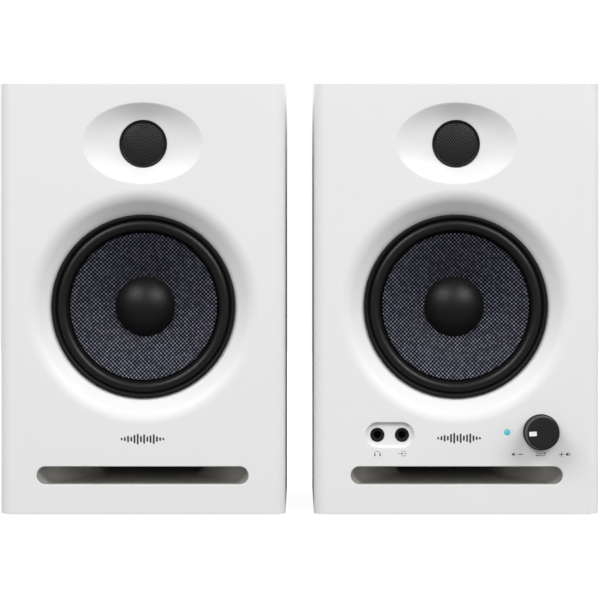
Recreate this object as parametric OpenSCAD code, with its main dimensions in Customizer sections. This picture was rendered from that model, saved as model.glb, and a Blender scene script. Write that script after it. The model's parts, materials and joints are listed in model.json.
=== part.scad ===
// A pair of powered desktop loudspeakers: the active speaker stands on the right, the passive one on the left.
// Every speaker is drawn in its own frame: x across, y backwards from the baffle's face, z up from the
// cabinet's underside. place() then stands it in the pair's frame, whose origin is the centre of the footprint.

/* [Pair] */
// Distance between the centre lines of the two speakers
pair_pitch = 160.6; // [150:1:400]
// Height of the rubber feet under each cabinet
foot_h = 1.2; // [1:0.1:4]

/* [Cabinet] */
// Width of each cabinet
cab_w = 146; // [142:0.5:160]
// Height of each cabinet, without its feet
cab_h = 220; // [218:0.5:240]
// Depth from the face of the baffle to the back
cab_d = 180; // [176:1:220]
// Thickness of the cabinet's boards
wall = 9; // [6:0.5:10]
// Depth of the moulded front baffle
baffle_d = 16; // [15:0.5:20]
// Radius of the baffle's upright edges
edge_r = 6; // [2:0.5:8]

/* [Woofer] */
// Height of the woofer's centre above the cabinet's underside
woofer_z = 106.1; // [104:0.1:112]
// Radius of the woofer's trim ring
ring_r = 47.25; // [46.9:0.1:47.5]
// Radius where the dish around the woofer leaves the flat of the baffle
dish_r = 60.3; // [58:0.1:64]
// Slope of the dish's wall
dish_slope = 40; // [30:1:45]
// Radius of the visible cone
cone_r = 37.7; // [37:0.1:38]
// Radius of the dust cap
cap_r = 15.7; // [14.5:0.1:17]
// Height of the dust cap's dome
cap_h = 8; // [5:0.5:9]

/* [Tweeter] */
// Height of the tweeter's centre above the cabinet's underside
tweeter_z = 189.6; // [187:0.1:192]
// Half width of the elliptical waveguide
guide_a = 30.9; // [27:0.1:34]
// Half height of the elliptical waveguide
guide_b = 20.8; // [19:0.1:22]
// Depth of the waveguide at the grille
guide_d = 5; // [3:0.5:6]
// Radius of the tweeter's opening
throat_r = 12.3; // [12.3:0.1:12.8]

/* [Bass port] */
// Width of the port's mouth
slot_w = 108.4; // [90:0.1:112]
// Height of the port's mouth
slot_h = 9.1; // [7:0.1:11]
// Height of the port's centre above the cabinet's underside
slot_z = 19.7; // [19:0.1:22]
// Width of the port's throat
throat_w = 56.5; // [45:1:70]
// Depth at which the flare reaches the throat
flare_d = 76; // [60:1:90]
// Depth at which the duct ends inside the cabinet
duct_end = 130; // [110:1:135]

/* [Front controls] */
// Sideways place of the volume knob
knob_x = 43; // [40:0.1:46]
// Height of the volume knob's centre
knob_z = 41.9; // [41:0.1:43]
// Radius of the volume knob's skirt
knob_r = 9.3; // [8:0.1:10]
// Reach of the knob in front of the baffle
knob_reach = 13.5; // [12:0.5:16]
// Height of the centre of the two front sockets
jack_z = 40.4; // [40:0.1:42]
// Sideways place between the two front sockets
jack_x = -34.2; // [-36:0.1:-30]
// Distance between the two front sockets
jack_pitch = 12.6; // [12:0.1:13]

/* [Rear panel] */
// Width of the amplifier's panel
panel_w = 112; // [108:1:118]
// Height of the amplifier's panel
panel_h = 150; // [146:1:156]
// Reach of the tone knobs behind the cabinet
rear_reach = 12; // [11:0.5:14]

/* [Hidden] */
$fn = 96;
clear = 0.1;        // slip clearance between pieces of one body
run = 0.06;         // radial running clearance of pins and shafts
front_y = (knob_reach - rear_reach - cab_d) / 2;
panel_z = 112;      // centre of the amplifier's panel
panel_t = 2;        // thickness of the rear panels
back_in = cab_d - panel_t;  // inner side of a rear panel
screw_r = 1.45;     // shank of the M3 screws

// Woofer, depths from the baffle's face
lip_r = (dish_r - 53.2) / sin(dish_slope);              // rounding between the flat and the dish
lip_d = lip_r * (1 - cos(dish_slope));
dish_d = lip_d + (53.2 - ring_r) * tan(dish_slope);     // depth of the dish at the ring
ledge_y = 11;       // ledge that the basket's flange sits on
hole_r = 43.2;      // cut-out behind the ledge
flange_t = 1.6;
flange_y = ledge_y - flange_t;
roll_r = 41.3;      // radius of the surround's crest line
roll_w = 2.8;       // half width of the surround's roll
rubber_t = 0.7;
rim_y = 9;          // front of the cone's rim
cone_rise = 0.6045; // depth gained per millimetre of radius
cone_t = 0.7;
neck_r = 12.6;
former_r = 12.5;
spider_y = 30;
plate_y = 38;       // front plate of the motor
plate_t = 4.5;
magnet_t = 11.5;
yoke_y = plate_y + plate_t + magnet_t;
woofer_screw_r = 45.1;

// Front controls
led_x = 25.8;
led_z = 41.7;
led_r = 1.5;
jack_r = 3.55;      // nose of a 3.5 mm socket
jack_bore = 1.8;
recess_d = 2;       // shallow recess around the sockets
shaft_r = 3;
knob_gap = 1.2;     // space behind the knob, which its push takes up
board_z = 32.6;       // control board under the sockets
board_t = 1.6;

// Rear panel
tone_x = 22;
tone_z = 168;
rca_z = 140;
rca_pitch = 14;
clip_z = 104;       // speaker terminals
clip_pitch = 18;
switch_x = -28;
inlet_x = 22;
mains_z = 62;
rocker_tilt = 10;   // the rocker rests tilted by this much
left_plate_w = 66;
left_plate_h = 52;

COMMON = [
    "cabinet", "front_baffle", "port_duct", "feet",
    "tweeter_grille", "tweeter_housing", "tweeter_dome", "tweeter_magnet",
    "woofer_trim_ring", "woofer_basket", "woofer_surround", "woofer_cone", "dust_cap",
    "voice_coil", "spider", "woofer_magnet", "motor_plates", "driver_screws"
];

// ---- outlines and placing ----

function arc(cx, cy, r, from, to, steps = 8) =
    [for (i = [0:steps]) let (a = from + (to - from) * i / steps) [cx + r * cos(a), cy + r * sin(a)]];
function rounded_box(w, h, r) = concat(
    arc(w / 2 - r, h / 2 - r, r, 0, 90, 6), arc(r - w / 2, h / 2 - r, r, 90, 180, 6),
    arc(r - w / 2, r - h / 2, r, 180, 270, 6), arc(w / 2 - r, r - h / 2, r, 270, 360, 6));
function stadium(w, h) = concat(
    arc((w - h) / 2, 0, h / 2, -90, 90, 14), arc((h - w) / 2, 0, h / 2, 90, 270, 14));
function ellipse(a, b, steps = 64) =
    [for (i = [0:steps - 1]) [a * cos(360 * i / steps), b * sin(360 * i / steps)]];
function cone_y(r) = rim_y + (cone_r - r) * cone_rise;
function duct_half(y) = slot_w / 2 - (slot_w - throat_w) / 2 * min(y / flare_d, 1);

// The children, drawn as seen from the front, become a slab from depth y0 back to y1
module slab(y0, y1) translate([0, y1, 0]) rotate([90, 0, 0]) linear_extrude(y1 - y0) children();

// A profile of [radius, depth] points, turned about the front-to-back axis
module turned(profile) rotate([-90, 0, 0]) rotate_extrude() polygon(profile);

// A round bar from depth y0 back to y1
module rod(r, y0, y1) translate([0, y0, 0]) rotate([-90, 0, 0]) cylinder(r = r, h = y1 - y0);

// A round bar across, centred on x = 0
module axle(r, length) rotate([0, 90, 0]) cylinder(r = r, h = length, center = true);

module brick(x, y, z) translate([x[0], y[0], z[0]]) cube([x[1] - x[0], y[1] - y[0], z[1] - z[0]]);
module at(x, z) translate([x, 0, z]) children();
module ring_of(count, r, start = 0)
    for (i = [0:count - 1]) rotate([0, start + 360 * i / count, 0]) translate([r, 0, 0]) children();
module place(side) translate([(side == "left" ? -1 : 1) * pair_pitch / 2, front_y, foot_h]) children();

// ---- cabinet and baffle ----

// Plan of the box from depth y0 to y1, with rounded corners at the front or the back
module box_plan(y0, y1, front_r, back_r) polygon(concat(
    arc(front_r - cab_w / 2, y0 + front_r, front_r, 180, 270), arc(cab_w / 2 - front_r, y0 + front_r, front_r, 270, 360),
    arc(cab_w / 2 - back_r, y1 - back_r, back_r, 0, 90), arc(back_r - cab_w / 2, y1 - back_r, back_r, 90, 180)));

module cabinet(active) color("white") difference() {
    linear_extrude(cab_h) box_plan(baffle_d, cab_d, 0.2, 3);
    brick([wall - cab_w / 2, cab_w / 2 - wall], [baffle_d - 1, cab_d - wall], [wall, cab_h - wall]);
    w = active ? panel_w : left_plate_w;
    h = active ? panel_h : left_plate_h;
    at(0, active ? panel_z : clip_z) {
        slab(back_in, cab_d + 1) polygon(rounded_box(w + 2 * clear, h + 2 * clear, 3));
        slab(cab_d - wall - 1, cab_d) polygon(rounded_box(w - 12, h - 12, 3));
        if (active) panel_screw_places() pilot();
        else plate_screw_places() pilot();
    }
}
module pilot() rod(screw_r + run, back_in - 6.5, back_in + 1);
module panel_screw_places() for (x = [-1, 1]) for (z = [-68, -23, 23, 68]) at(x * (panel_w / 2 - 4), z) children();
module plate_screw_places()
    for (x = [-1, 1]) for (z = [-1, 1]) at(x * (left_plate_w / 2 - 4), z * (left_plate_h / 2 - 4)) children();

function dish_profile() = concat(
    [[0, -1], [dish_r, -1]],
    [for (i = [0:8]) let (t = dish_slope * i / 8) [dish_r - lip_r * sin(t), lip_r * (1 - cos(t))]],
    [[ring_r, dish_d], [ring_r, ledge_y], [hole_r, ledge_y], [hole_r, baffle_d + 1], [0, baffle_d + 1]]);

module waveguide() hull() {
    slab(-1, 0) polygon(ellipse(guide_a, guide_b, 48));
    slab(guide_d - 0.3, guide_d) polygon(ellipse(throat_r + 0.9, throat_r + 0.9, 48));
}

// The inside of the flared port, from depth y0 back to y1, grown by the wall thickness t
module duct_space(y0, y1, t = 0) translate([0, 0, slot_z - slot_h / 2 - t]) linear_extrude(slot_h + 2 * t) polygon([
    [-duct_half(y0) - t, y0], [duct_half(y0) + t, y0], [duct_half(flare_d) + t, flare_d], [duct_half(y1) + t, y1],
    [-duct_half(y1) - t, y1], [-duct_half(flare_d) - t, flare_d]]);

module front_baffle(active) color("white") difference() {
    linear_extrude(cab_h) box_plan(0, baffle_d, edge_r, 0.2);
    at(0, woofer_z) {
        turned(dish_profile());
        ring_of(4, woofer_screw_r, 45) rod(screw_r + run, ledge_y - 1, baffle_d + 1);
    }
    at(0, tweeter_z) {
        waveguide();
        rod(throat_r, guide_d - 0.5, baffle_d + 1);
        ring_of(3, 18.5, 90) rod(screw_r + run, ledge_y, baffle_d + 1);
    }
    at(0, slot_z) slab(-1, 1.5) polygon(stadium(slot_w, slot_h));
    intersection() {
        duct_space(1, cab_d);
        brick([-cab_w / 2, cab_w / 2], [1, baffle_d + 1], [0, 40]);
    }
    if (active) {
        at(jack_x, jack_z) {
            slab(-1, recess_d) polygon(stadium(25.1, 13));
            slab(7, baffle_d + 1) polygon(rounded_box(30, 18, 2));
            for (side = [-1, 1]) at(side * jack_pitch / 2, 0) rod(jack_r + clear, recess_d - 1, 8);
        }
        at(knob_x, knob_z) {
            rod(3.7, -1, 6);
            slab(5, baffle_d + 1) polygon(rounded_box(18, 20, 2));
        }
        at(led_x, led_z) rod(led_r + clear, -1, baffle_d + 1);
    }
}

module port_duct() color("dimgray") difference() {
    intersection() {
        duct_space(1, duct_end, 2);
        brick([-cab_w / 2, cab_w / 2], [baffle_d, duct_end - 0.01], [0, 40]);
    }
    duct_space(1, duct_end + 1);
}

module feet() color("black")
    for (x = [-52, 52]) for (y = [24, cab_d - 24]) translate([x, y, -foot_h]) cylinder(r = 9, h = foot_h);

// ---- woofer ----

module woofer_trim_ring() color("black") turned(concat(
    [[44.3, flange_y - 0.8], [44.3, 6.9]], arc(45.65, 6.9, 1.35, 195, 345, 10), [[47, 6.9], [47, flange_y - 0.8]]));

module woofer_basket() color("dimgray") difference() {
    turned([
        [40.8, flange_y], [ring_r - 0.2, flange_y], [ring_r - 0.2, ledge_y], [42.6, ledge_y], [32.6, 32], [28, 32],
        [26, plate_y], [14.6, plate_y], [14.6, plate_y - 1.2], [25, plate_y - 1.2], [27, spider_y + 0.8],
        [31.8, spider_y + 0.8], [41.2, ledge_y]]);
    ring_of(4, 38, 0) brick([-8, 8], [15, 28], [-11, 11]);
    ring_of(4, woofer_screw_r, 45) rod(screw_r + run, flange_y + 0.4, ledge_y + 1);
}

function surround_front() = [for (t = [0:15:180]) [roll_r + roll_w * cos(t), flange_y - 0.8 - roll_w * sin(t)]];
function surround_back() =
    [for (t = [180:-15:0]) [roll_r + (roll_w - rubber_t) * cos(t), flange_y - 0.8 - (roll_w - rubber_t) * sin(t)]];

module woofer_surround() color([0.08, 0.08, 0.08]) turned(concat(
    [[46.8, flange_y - 0.8]], surround_front(),
    [[roll_r - roll_w, cone_y(cone_r) + 0.8], [36, cone_y(36) + cone_t + 0.15], [36, cone_y(36) + cone_t + 0.75],
     [roll_r - roll_w + rubber_t, cone_y(cone_r) + 1.5]],
    surround_back(), [[roll_r + roll_w - rubber_t, flange_y], [46.8, flange_y]]));

module woofer_cone() color([0.25, 0.28, 0.36]) turned([
    [cone_r, rim_y], [neck_r, cone_y(neck_r)], [neck_r, cone_y(neck_r) + cone_t], [cone_r, rim_y + cone_t]]);

module dust_cap() color("black") {
    ball = (cap_r * cap_r + cap_h * cap_h) / (2 * cap_h);
    edge = asin((cap_r - 0.2) / ball);
    centre = cone_y(cap_r) - cap_h + ball;
    turned(concat(
        [for (i = [0:12]) let (t = edge * i / 12) [ball * sin(t), centre - ball * cos(t)]],
        [for (i = [12:-1:0]) let (t = edge * i / 12) [(ball - 0.5) * sin(t), centre - (ball - 0.5) * cos(t)]]));
}

module voice_coil() color("peru") turned([
    [former_r - 0.25, cone_y(neck_r) - 0.5], [former_r, cone_y(neck_r) - 0.5], [former_r, plate_y - 2],
    [former_r + 0.6, plate_y - 2], [former_r + 0.6, plate_y + 8], [former_r - 0.25, plate_y + 8]]);

// Corrugated suspension between the former and the basket's shelf
spider_in = former_r + clear;
spider_out = 31.4;
function spider_wave(r) = spider_y
    + (r < spider_in + 2 || r > spider_out - 4 ? 0 : 0.9 * sin(1440 * (r - spider_in - 2) / (spider_out - spider_in - 6)));
module spider(steps = 48) color("goldenrod") turned(concat(
    [for (i = [0:steps]) let (r = spider_in + (spider_out - spider_in) * i / steps) [r, spider_wave(r)]],
    [for (i = [steps:-1:0]) let (r = spider_in + (spider_out - spider_in) * i / steps) [r, spider_wave(r) + 0.6]]));

module woofer_magnet() color("dimgray")
    turned([[17, plate_y + plate_t], [32, plate_y + plate_t], [32, yoke_y], [17, yoke_y]]);

// The motor's front plate, and the back plate with its pole
module motor_plates() color("silver") {
    turned([[13.7, plate_y], [30, plate_y], [30, plate_y + plate_t], [13.7, plate_y + plate_t]]);
    turned([[0, plate_y - 1], [11, plate_y - 1], [11.7, plate_y], [11.7, yoke_y], [30, yoke_y], [30, yoke_y + 4],
        [0, yoke_y + 4]]);
}

module screw(head_y, tip_y, head_r = 2.7, head_t = 1.8) {
    rod(screw_r, min(head_y, tip_y), max(head_y, tip_y));
    if (head_y > tip_y) rod(head_r, head_y, head_y + head_t);
}

module driver_screws() color("dimgray") {
    at(0, woofer_z) ring_of(4, woofer_screw_r, 45) screw(baffle_d, flange_y + 0.5, 2.4);
    at(0, tweeter_z) ring_of(3, 18.5, 90) screw(baffle_d + 2.5, ledge_y + 0.2, 2.4);
}

// ---- tweeter ----

module tweeter_grille() color([0.1, 0.1, 0.1]) {
    rise = 2.2;
    rim = throat_r - 1.2;
    ball = (rim * rim + rise * rise) / (2 * rise);
    edge = asin(rim / ball);
    centre = guide_d - rise + ball;
    turned(concat(
        [for (i = [0:8]) let (t = edge * i / 8) [ball * sin(t), centre - ball * cos(t)]],
        [[throat_r - 0.5, guide_d - 0.4], [throat_r - clear, guide_d], [throat_r - clear, guide_d + 1.2],
         [rim, guide_d + 1.2]],
        [for (i = [8:-1:0]) let (t = edge * i / 8) [(ball - 0.6) * sin(t), centre - (ball - 0.6) * cos(t)]]));
}

module tweeter_housing() color("black") difference() {
    turned([
        [11, guide_d + 1.3], [throat_r - clear, guide_d + 1.3], [throat_r - clear, baffle_d], [21, baffle_d],
        [21, baffle_d + 2.5], [14.7, baffle_d + 2.5], [14.7, baffle_d + 0.8], [11, baffle_d + 0.8]]);
    ring_of(3, 18.5, 90) rod(screw_r + run, baffle_d - 1, baffle_d + 4);
}

// Silk dome with its edge roll and its coil former, which move as one
module tweeter_dome() color([0.15, 0.15, 0.15]) {
    ball = (9.5 * 9.5 + 4 * 4) / (2 * 4);
    edge = asin(9.5 / ball);
    turned(concat(
        [for (i = [0:10]) let (t = edge * i / 10) [ball * sin(t), 8 + ball - ball * cos(t)]],
        [[10.2, 11.4], [10.9, 12], [10.9, 12.4], [9.7, 12.4], [9.7, 17.2], [9.45, 17.2], [9.45, 12.6]],
        [for (i = [9:-1:0]) let (t = edge * i / 10)
            [(ball - 0.3) * sin(t), 8 + ball - (ball - 0.3) * cos(t)]]));
}

module tweeter_magnet() color("silver") {
    cup_y = baffle_d + 0.9;
    turned([
        [0, cup_y - 0.9], [9.1, cup_y - 0.9], [9.1, cup_y + 1.8], [8, cup_y + 1.8], [8, cup_y + 8], [10.2, cup_y + 8],
        [10.2, cup_y], [14.6, cup_y], [14.6, cup_y + 11], [0, cup_y + 11]]);
}

// ---- front controls of the active speaker ----

module volume_knob() color([0.13, 0.13, 0.13]) at(knob_x, knob_z) difference() {
    turned([
        [0, -knob_reach], [7.8, -knob_reach], [8.15, -knob_reach + 0.3], [8.5, -4.2], [knob_r - 0.2, -3.6],
        [knob_r, -3.2], [knob_r, -knob_gap], [0, -knob_gap]]);
    rod(shaft_r + 0.01, -knob_reach + 3, 0);
    at(-4.9, 0) slab(-knob_reach - 1, -knob_reach + 0.4) polygon(rounded_box(4, 2.4, 0.2));
}

module knob_shaft() color("silver") at(knob_x, knob_z) rod(shaft_r, -knob_reach + 3.2, 13.4);

module wiper_rotor() color("white") at(knob_x, knob_z)
    turned([[shaft_r + run, 8], [4.6, 8], [4.6, 11.6], [shaft_r + run, 11.6]]);

module volume_potentiometer() color("silver") at(knob_x, knob_z) difference() {
    union() {
        rod(3.5, -0.6, 6);
        slab(5, 14.8) polygon(rounded_box(12, 15.4, 0.5));
    }
    rod(shaft_r + run, -2, 7);
    rod(4.8, 6.8, 12);
    rod(shaft_r + 0.3, 11, 14.3);
}

module front_jacks() color([0.1, 0.1, 0.1]) at(jack_x, jack_z)
    for (side = [-1, 1]) at(side * jack_pitch / 2, 0) difference() {
        union() {
            rod(jack_r, recess_d - 0.4, 8);
            slab(7, 21) polygon(rounded_box(9.6, 12.4, 0.4));
        }
        rod(jack_bore, recess_d - 1, 16);
    }

module status_light() color([0.3, 0.75, 0.85]) at(led_x, led_z) {
    rod(led_r, -0.3, 18);
    brick([-2, 2], [17, 20], [board_z + board_t - led_z, 3]);
}

module control_board() color("green") difference() {
    brick([-50, 56], [8, 34], [board_z, board_z + board_t]);
    // notches in the front edge, which clear the baffle between its two reliefs
    brick([jack_x + 13, knob_x - 7], [0, baffle_d + 0.2], [0, 50]);
    brick([-51, jack_x - 13], [0, baffle_d + 0.2], [0, 50]);
    brick([knob_x + 7, 60], [0, baffle_d + 0.2], [0, 50]);
}

// ---- rear of both speakers ----

// Spring terminals: x0 is their place across, drawn at the cabinet's back. Each lever turns on a pin.
lever_pin = [cab_d + 4, 6];     // [depth, height above the terminals' centre]

module lever_at(x) translate([x, lever_pin[0], lever_pin[1]]) children();

module terminal_block() difference() {
    union() {
        slab(cab_d, cab_d + 8) polygon(rounded_box(42, 27, 2));
        slab(cab_d - 12, cab_d + 1) polygon(rounded_box(38, 23, 1));
    }
    for (side = [-1, 1]) at(side * clip_pitch / 2, 0) {
        brick([-5.3, 5.3], [cab_d - 1.5, cab_d + 9], [-3.6, 10.6]);
        translate([0, lever_pin[0], lever_pin[1]]) axle(1.2 + run, 13.4);
        at(0, -8.5) rod(1.6, cab_d + 0.5, cab_d + 9);
    }
}

module clip(side, paint) color(paint) lever_at(side * clip_pitch / 2) {
    rotate([90, 0, 90]) translate([0, 0, -5]) linear_extrude(10) polygon([
        [-3.2, 3.2], [2.6, 3.2], [6.6, -0.6], [7.4, -2.2], [7.2, -4.4], [5.6, -5.2], [2.2, -4.2], [-1, -2.4], [-4, -1]]);
    axle(1.2, 13);
}

module left_terminal_plate() color([0.12, 0.12, 0.12]) at(0, clip_z) {
    difference() {
        union() {
            slab(back_in, cab_d) polygon(rounded_box(left_plate_w, left_plate_h, 3));
            terminal_block();
        }
        plate_screw_places() rod(screw_r + run, back_in - 1, cab_d + 1);
        for (side = [-1, 1]) at(side * clip_pitch / 2, 0) {
            brick([-5.3, 5.3], [cab_d - 1.5, cab_d + 9], [-3.6, 10.6]);
            at(0, -8.5) rod(1.6, cab_d + 0.5, cab_d + 9);
        }
    }
    plate_screw_places() {
        rod(screw_r, back_in - 6, cab_d);
        rod(2.7, cab_d, cab_d + 1.6);
    }
}

module left_crossover() color("green") at(0, 165) {
    slab(155, 156.6) polygon(rounded_box(76, 44, 2));
    for (x = [-33, 33]) at(x, 0) rod(3, 156.5, cab_d - wall);
    at(-20, 4) turned([[5, 139], [14, 139], [14, 155.1], [5, 155.1]]);
    at(18, 10) translate([0, 147, 0]) axle(7, 30);
    brick([8, 30], [147, 155.1], [-14, -6]);
}

// ---- rear panel of the active speaker ----

module amp_panel() color([0.1, 0.1, 0.1]) difference() {
    at(0, panel_z) slab(back_in, cab_d) polygon(rounded_box(panel_w, panel_h, 3));
    at(0, panel_z) panel_screw_places() rod(screw_r + run, back_in - 1, cab_d + 1);
    for (side = [-1, 1]) {
        at(side * tone_x, tone_z) rod(3.6, back_in - 1, cab_d + 1);
        at(side * rca_pitch / 2, rca_z) rod(4.6, back_in - 1, cab_d + 1);
    }
    at(0, clip_z) slab(back_in - 1, cab_d + 1) polygon(rounded_box(38.2, 23.2, 1));
    at(switch_x, mains_z) slab(back_in - 1, cab_d + 1) polygon(rounded_box(13.2, 19.2, 0.5));
    at(inlet_x, mains_z) slab(back_in - 1, cab_d + 1) polygon(rounded_box(22.2, 12.2, 2));
}

module amp_panel_screws() color("silver") at(0, panel_z) panel_screw_places() {
    rod(screw_r, back_in - 6, cab_d);
    rod(2.7, cab_d, cab_d + 1.6);
}

module speaker_out_terminal() color([0.12, 0.12, 0.12]) at(0, clip_z) terminal_block();

module tone_knob(x) color([0.13, 0.13, 0.13]) at(x, tone_z) difference() {
    union() {
        turned([
            [0, cab_d + 1.2], [5.6, cab_d + 1.2], [5.6, cab_d + 3], [5.2, cab_d + rear_reach - 0.6],
            [4.6, cab_d + rear_reach], [0, cab_d + rear_reach]]);
        rod(shaft_r, cab_d - 15, cab_d + 2);
    }
    at(0, 3.4) slab(cab_d + rear_reach - 0.5, cab_d + rear_reach + 1) polygon(rounded_box(1, 3.6, 0.2));
}

module rca_inputs() color("gold") difference() {
    union() {
        at(0, rca_z) slab(157.6, back_in) polygon(rounded_box(30, 15, 1));
        for (side = [-1, 1]) at(side * rca_pitch / 2, rca_z) {
            rod(4.5, back_in - 1, cab_d);
            rod(4.15, cab_d - 1, cab_d + 9);
        }
    }
    for (side = [-1, 1]) at(side * rca_pitch / 2, rca_z) {
        turned([[2.5, cab_d], [3.5, cab_d], [3.5, cab_d + 10], [2.5, cab_d + 10]]);
        rod(1.6, cab_d - 6, cab_d + 10);
    }
}

module power_switch_frame() color([0.1, 0.1, 0.1]) at(switch_x, mains_z) difference() {
    union() {
        slab(cab_d, cab_d + 2) polygon(rounded_box(15, 21, 1));
        slab(cab_d - 18, cab_d + 0.1) polygon(rounded_box(13, 19, 0.5));
    }
    brick([-5.5, 5.5], [cab_d - 8, cab_d + 3], [-9, 9]);
    translate([0, cab_d - 1.5, 0]) axle(1.3 + run, 12.6);
}

module power_rocker() color([0.16, 0.16, 0.16])
    translate([switch_x, cab_d - 1.5, mains_z]) rotate([-rocker_tilt, 0, 0]) {
        rotate([90, 0, 90]) translate([0, 0, -5.2]) linear_extrude(10.4) polygon([
            [-3, -4.5], [2, -7.8], [4.6, -8], [3.6, -4], [3.3, 0], [3.6, 4], [4.6, 8], [2, 7.8], [-3, 4.5]]);
        axle(1.3, 12.4);
    }

module mains_inlet() color([0.1, 0.1, 0.1]) at(inlet_x, mains_z) {
    difference() {
        union() {
            slab(cab_d, cab_d + 1.5) polygon(rounded_box(27, 16, 3));
            slab(cab_d - 16, cab_d + 0.1) polygon(rounded_box(22, 12, 2));
        }
        slab(cab_d - 13, cab_d + 3) polygon(stadium(17.4, 8.6));
    }
    for (x = [-4.3, 4.3]) at(x, 0) rod(1.15, cab_d - 14, cab_d - 2);
}

module amp_board() color("green") at(0, 138) {
    slab(156, 157.6) polygon(rounded_box(94, 92, 2));
    for (side = [-1, 1]) at(side * tone_x, tone_z - 138) difference() {
        slab(157.5, 172) polygon(rounded_box(12, 12, 0.5));
        rod(shaft_r + run, 163, 173);
    }
    for (x = [-32, 32]) at(x, -30) rod(8, 131, 156.1);
    for (x = [-14, 0, 14]) at(x, -34) rod(4, 143, 156.1);
    difference() {
        brick([-24, 24], [134, 156.1], [-10, 16]);
        for (x = [-21:6:21]) brick([x - 1.8, x + 1.8], [133, 150], [-11, 17]);
    }
}

// Mains board: transformer, smoothing capacitor and output coil
module power_supply() color("green") at(0, 64) {
    slab(146, 147.6) polygon(rounded_box(104, 44, 2));
    for (x = [-44, 44]) for (z = [-18, 18]) at(x, z) rod(2.5, 147.5, back_in);
    brick([-22, 10], [120, 146.1], [-14, 14]);
    at(26, 4) rod(9, 116, 146.1);
    at(-36, 0) turned([[4, 132], [9, 132], [9, 146.1], [4, 146.1]]);
}

// ---- the pair ----

module common(name, active) {
    if (name == "cabinet") cabinet(active);
    if (name == "front_baffle") front_baffle(active);
    if (name == "port_duct") port_duct();
    if (name == "feet") feet();
    if (name == "driver_screws") driver_screws();
    at(0, tweeter_z) {
        if (name == "tweeter_grille") tweeter_grille();
        if (name == "tweeter_housing") tweeter_housing();
        if (name == "tweeter_dome") tweeter_dome();
        if (name == "tweeter_magnet") tweeter_magnet();
    }
    at(0, woofer_z) {
        if (name == "woofer_trim_ring") woofer_trim_ring();
        if (name == "woofer_basket") woofer_basket();
        if (name == "woofer_surround") woofer_surround();
        if (name == "woofer_cone") woofer_cone();
        if (name == "dust_cap") dust_cap();
        if (name == "voice_coil") voice_coil();
        if (name == "spider") spider();
        if (name == "woofer_magnet") woofer_magnet();
        if (name == "motor_plates") motor_plates();
    }
}

for (side = ["left", "right"]) for (name = COMMON)
    place(side) common(name, side == "right");

place("left") left_terminal_plate();
place("left") at(0, clip_z) clip(-1, "red");  // left_red_clip
place("left") at(0, clip_z) clip(1, "black");  // left_black_clip
place("left") left_crossover();

place("right") volume_knob();
place("right") knob_shaft();
place("right") wiper_rotor();
place("right") volume_potentiometer();
place("right") front_jacks();
place("right") status_light();
place("right") control_board();

place("right") amp_panel();
place("right") amp_panel_screws();
place("right") amp_board();
place("right") power_supply();
place("right") mains_inlet();
place("right") power_switch_frame();
place("right") power_rocker();
place("right") rca_inputs();
place("right") speaker_out_terminal();
place("right") at(0, clip_z) clip(-1, "red");  // out_red_clip
place("right") at(0, clip_z) clip(1, "black");  // out_black_clip
place("right") tone_knob(-tone_x);  // bass_knob
place("right") tone_knob(tone_x);  // treble_knob
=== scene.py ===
import json
import math

import bmesh
import bpy
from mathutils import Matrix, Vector


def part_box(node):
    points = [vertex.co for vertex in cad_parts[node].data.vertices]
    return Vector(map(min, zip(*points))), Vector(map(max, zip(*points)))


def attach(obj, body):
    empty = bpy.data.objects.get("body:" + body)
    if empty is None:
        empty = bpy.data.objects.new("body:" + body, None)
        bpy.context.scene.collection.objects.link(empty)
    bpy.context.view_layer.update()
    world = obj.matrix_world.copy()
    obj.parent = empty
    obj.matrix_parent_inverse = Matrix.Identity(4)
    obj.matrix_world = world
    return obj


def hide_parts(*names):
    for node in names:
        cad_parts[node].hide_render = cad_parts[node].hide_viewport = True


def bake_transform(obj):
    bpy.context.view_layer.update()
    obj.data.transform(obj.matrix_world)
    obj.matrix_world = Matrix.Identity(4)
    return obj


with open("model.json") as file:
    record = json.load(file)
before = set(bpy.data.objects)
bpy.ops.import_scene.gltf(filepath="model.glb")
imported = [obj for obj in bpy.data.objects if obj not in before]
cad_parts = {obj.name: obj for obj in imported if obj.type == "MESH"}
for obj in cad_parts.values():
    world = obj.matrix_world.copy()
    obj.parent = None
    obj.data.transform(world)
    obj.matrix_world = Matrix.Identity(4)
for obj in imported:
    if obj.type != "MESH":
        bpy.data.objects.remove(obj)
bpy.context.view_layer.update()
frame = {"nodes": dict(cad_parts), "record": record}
MM = 0.001
TAU = 2 * math.pi


# ---- the frame: a speaker's own origin is at the front of its baffle, in the middle of its lower edge ----

def speaker_origin(side):
    low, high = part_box(f"{side}_front_baffle")
    return Vector(((low.x + high.x) / 2, low.y, low.z))


def size_of(node):
    low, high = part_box(node)
    return (high - low) / MM


def centre_in(side, node):
    """The middle of a CAD node, in millimetres in its speaker's own frame."""
    low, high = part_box(node)
    return ((low + high) / 2 - ORIGIN[side]) / MM


ORIGIN = {side: speaker_origin(side) for side in ("left", "right")}
WIDTH, BAFFLE_D, HEIGHT = size_of("right_front_baffle")
DEPTH = BAFFLE_D + size_of("right_cabinet").y
WOOFER_Z = centre_in("right", "right_woofer_cone").z
TWEETER_Z = centre_in("right", "right_tweeter_grille").z
CORNER_R, TOP_R = 6.0, 0.25                      # the baffle's rounding: upright edges, and top and bottom
RING_R = size_of("right_woofer_trim_ring").x / 2 + 0.1
DISH_R, DISH_BLEND_R, DISH_SLOPE = 60.3, 53.2, math.radians(40)
LEDGE_D, WOOFER_HOLE_R = 11.0, 43.2              # where the woofer is screwed on, and its cut-out
GUIDE_A, GUIDE_B, GUIDE_D, THROAT_R = 30.9, 20.8, 5.0, 12.3
CONE_R, CONE_EDGE_D, CONE_SLOPE = 37.7, 9.0, 0.6045
SLOT_W, SLOT_H, SLOT_Z = 108.4, 9.1, centre_in("right", "right_port_duct").z
SLOT_THROAT_W, FLARE_D, DUCT_END = 56.5, 76.0, 129.9
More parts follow.
